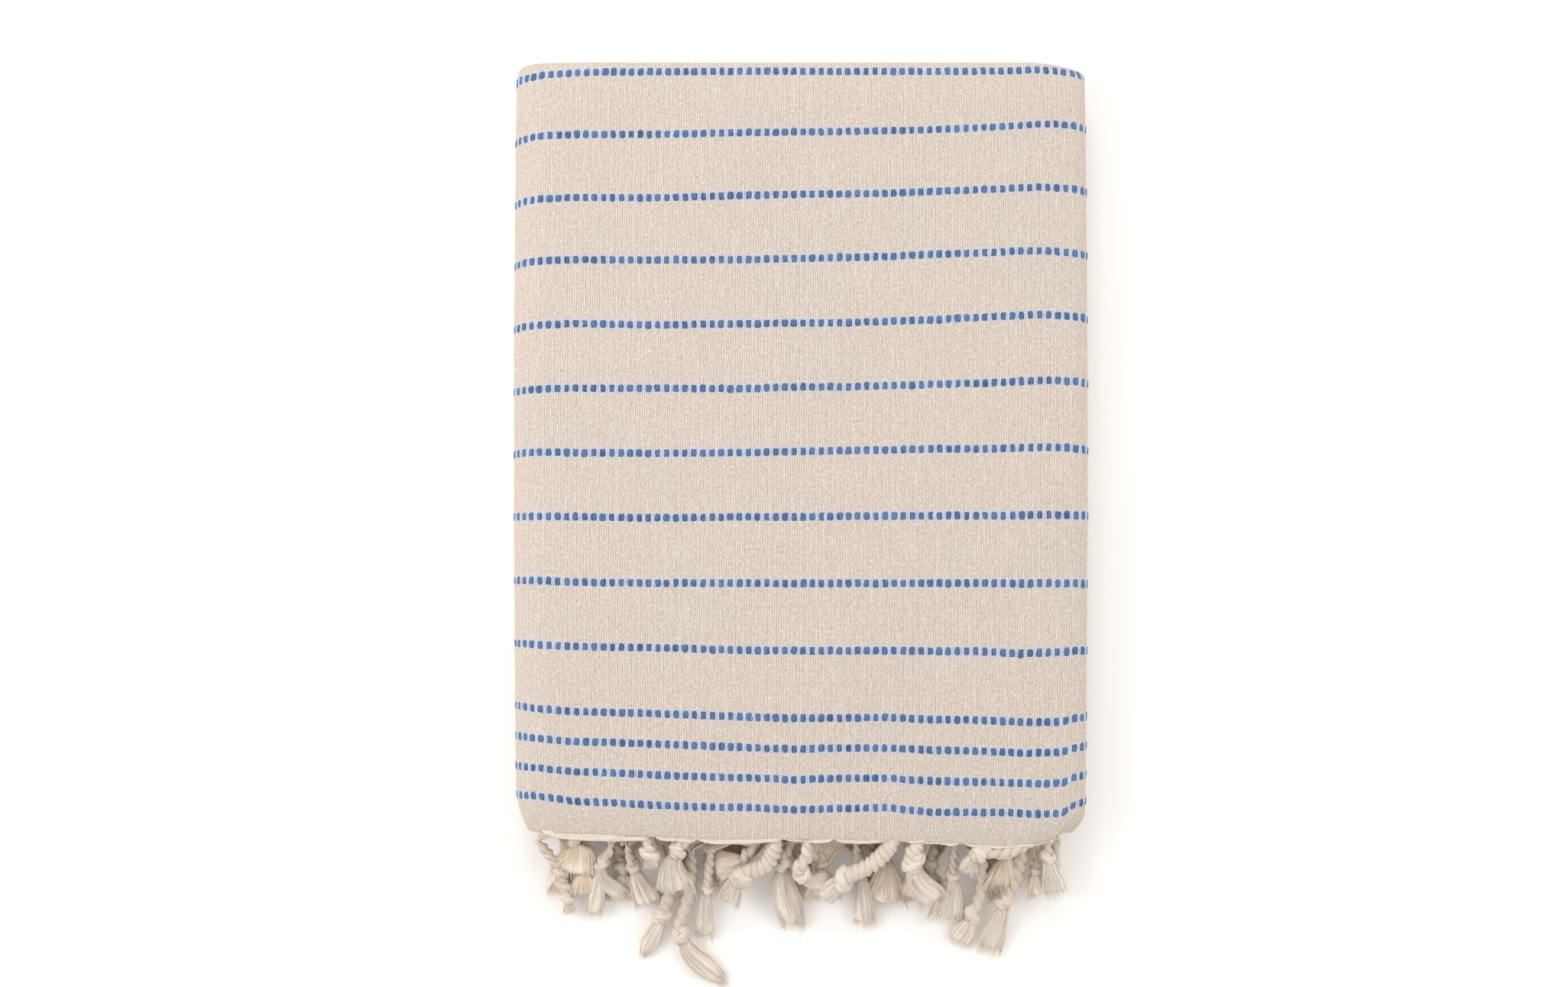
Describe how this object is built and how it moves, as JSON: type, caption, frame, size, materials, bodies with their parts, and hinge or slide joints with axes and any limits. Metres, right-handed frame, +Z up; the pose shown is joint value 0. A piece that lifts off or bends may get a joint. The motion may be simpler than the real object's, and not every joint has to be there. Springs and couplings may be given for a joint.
{
  "type": "folded hammam towel",
  "caption": "Flat-woven cotton hammam towel with brocaded dashed stripes, folded into a flat stack, its knotted twisted fringe spread along one side.",
  "frame": {"origin": "centre of the folded cloth's flat underside, fringe left out", "axes": "+Z up through the stack, +Y along the folded length away from the fringe, +X across to the side where the free long edges lie"},
  "size_m": [0.2524, 0.41, 0.0287],
  "materials": {
    "cotton_cloth": "dull flat-woven cotton with fine ribs",
    "cotton_fringe": "dull twisted and combed cotton yarn",
    "blue_yarn": "soft dyed cotton yarn"
  },
  "bodies": {
    "root": {"cloth": "cotton_cloth", "fringe": "cotton_fringe"}
  },
  "joints": []
}
